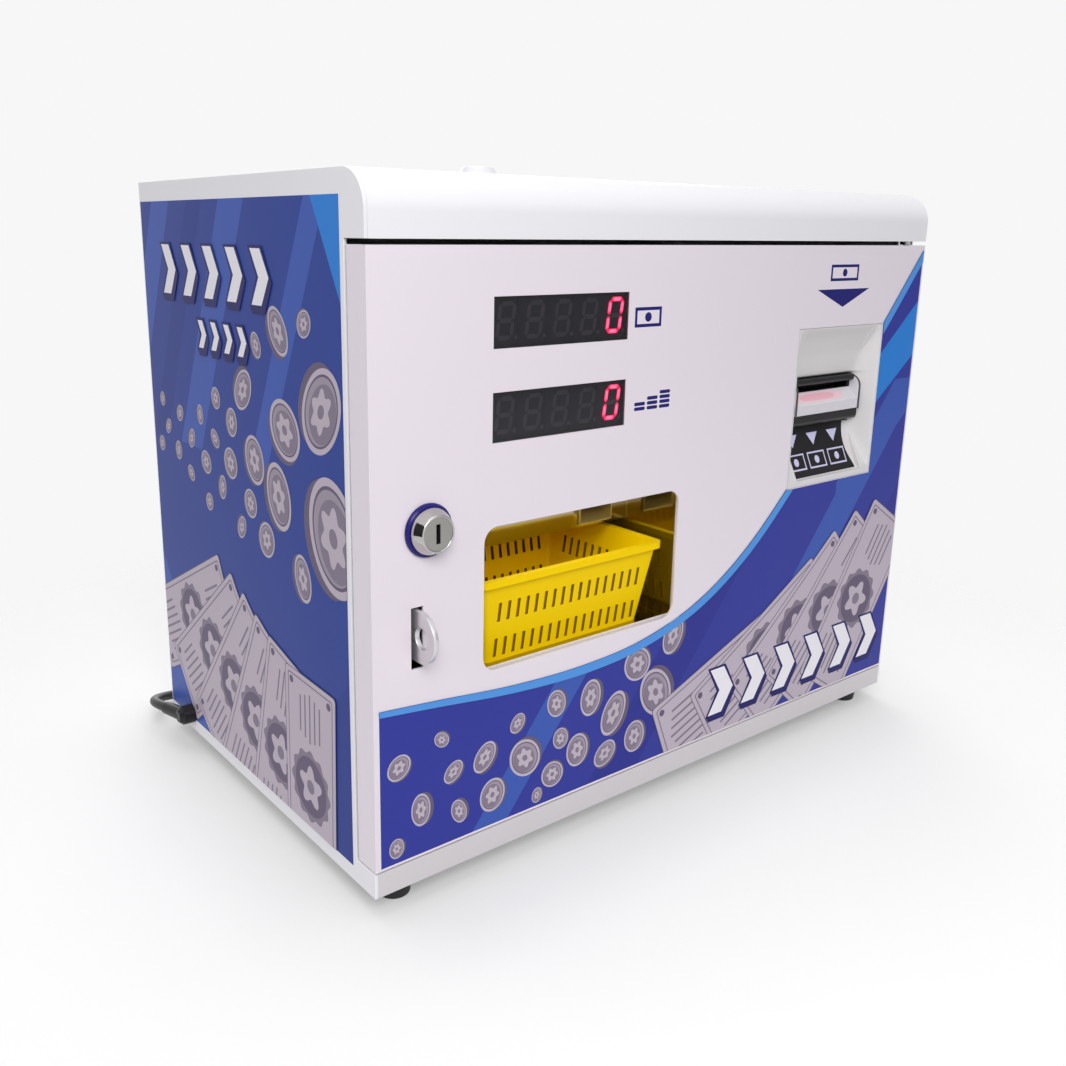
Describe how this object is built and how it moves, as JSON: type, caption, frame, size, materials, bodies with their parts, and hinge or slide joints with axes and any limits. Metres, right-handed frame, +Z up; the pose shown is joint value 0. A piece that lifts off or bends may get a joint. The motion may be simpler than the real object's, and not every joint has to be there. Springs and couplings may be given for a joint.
{
  "type": "coin changer",
  "caption": "Countertop coin changer: hinged steel door with bill acceptor, number displays and a window onto a coin basket, a locked refill hatch in the top and a disc hopper inside.",
  "frame": {"origin": "on the table, below the middle of the cabinet's footprint with the padlock ear and the rear switch", "axes": "+Z up, -Y out of the door, +X to the right of someone who faces the door"},
  "size_m": [0.4956, 0.4347, 0.406],
  "materials": {
    "body_paint": "satin",
    "door_paint": "satin",
    "frame_paint": "satin",
    "polished_steel": "polished",
    "steel": "brushed",
    "zinc_case": "satin",
    "lock_metal": "polished",
    "yellow_plastic": "gloss",
    "clear_plastic": "clear",
    "smoked_plastic": "clear",
    "white_plastic": "satin",
    "black_plastic": "matte",
    "blue_plastic": "satin",
    "circuit_board": "satin",
    "digit_plastic": "matte",
    "card": "matte",
    "foot_rubber": "matte",
    "cord_sheath": "matte"
  },
  "bodies": {
    "cabinet": {"side_panel_left": "body_paint", "side_panel_right": "body_paint", "top_cover": "body_paint", "base_tray": "body_paint", "rear_panel": "body_paint", "rubber_feet": "foot_rubber", "foot_screws": "steel", "door_pivot_pins": "steel", "lock_strike": "steel", "hatch_strike": "steel", "hasp_bracket": "steel", "coin_bay": "polished_steel", "bay_frame": "frame_paint", "bay_stand": "steel", "coin_chute": "polished_steel", "hopper_table": "steel", "hopper_base": "black_plastic", "hopper_bowl": "black_plastic", "hopper_motor": "zinc_case", "power_supply": "zinc_case", "board_standoffs": "steel", "control_board": "circuit_board", "switch_housing": "black_plastic", "cord_gland": "black_plastic", "power_cord": "cord_sheath", "cord_coil": "cord_sheath", "cord_tail": "cord_sheath", "mains_plug": "black_plastic", "hinge_leaf_fixed": "steel", "hinge_pin": "steel"},
    "door": {"door_panel": "door_paint", "door_pivot_blocks": "steel", "acceptor_bezel": "white_plastic", "accept_card": "card", "acceptor_mouth": "black_plastic", "bill_tray": "clear_plastic", "acceptor_bracket": "steel", "acceptor_head": "black_plastic", "door_lock_ring": "blue_plastic", "door_lock_body": "lock_metal", "door_lock_nut": "lock_metal", "display_lens_upper": "smoked_plastic", "display_lens_lower": "smoked_plastic", "display_housing_upper": "black_plastic", "display_housing_lower": "black_plastic", "display_board_upper": "circuit_board", "display_board_lower": "circuit_board", "display_digits_upper": "digit_plastic", "display_digits_lower": "digit_plastic"},
    "door_lock": {"door_lock_plug": "lock_metal", "door_lock_cam": "lock_metal"},
    "cassette": {"cash_cassette": "black_plastic"},
    "basket": {"coin_basket": "yellow_plastic"},
    "hatch": {"refill_hatch": "body_paint", "hinge_leaf_moving": "steel", "hatch_lock_ring": "blue_plastic", "hatch_lock_body": "lock_metal", "hatch_lock_nut": "lock_metal"},
    "hatch_lock": {"hatch_lock_plug": "lock_metal", "hatch_lock_cam": "lock_metal"},
    "hopper_disc": {"coin_disc": "white_plastic", "hopper_shaft": "steel"},
    "rocker": {"switch_rocker": "black_plastic"}
  },
  "joints": [
    {"name": "door_swing", "type": "hinge", "parent": "cabinet", "child": "door", "pos_m": [0.2345, -0.12535, 0.193], "axis": [0, 0, 1], "range_deg": [0, 105]},
    {"name": "door_lock_turn", "type": "hinge", "parent": "door", "child": "door_lock", "pos_m": [-0.2048, -0.13785, 0.2166], "axis": [0, 1, 0], "range_deg": [0, 90]},
    {"name": "cassette_slide", "type": "slide", "parent": "door", "child": "cassette", "axis": [0, 1, 0], "range_m": [0, 0.06]},
    {"name": "basket_lift", "type": "slide", "parent": "cabinet", "child": "basket", "axis": [0, 0, 1], "range_m": [0, 0.0045]},
    {"name": "hatch_lid", "type": "hinge", "parent": "cabinet", "child": "hatch", "pos_m": [-0.082, 0.12235, 0.3992], "axis": [-1, 0, 0], "range_deg": [0, 95]},
    {"name": "hatch_lock_turn", "type": "hinge", "parent": "hatch", "child": "hatch_lock", "pos_m": [-0.082, -0.01585, 0.3975], "axis": [0, 0, 1], "range_deg": [0, 90]},
    {"name": "disc_spin", "type": "hinge", "parent": "cabinet", "child": "hopper_disc", "pos_m": [-0.082, 0.02215, 0.206], "axis": [0, 0, 1], "continuous": true},
    {"name": "switch_rock", "type": "hinge", "parent": "cabinet", "child": "rocker", "pos_m": [0.162, 0.14965, 0.083], "axis": [-1, 0, 0], "range_deg": [0, 20]}
  ]
}
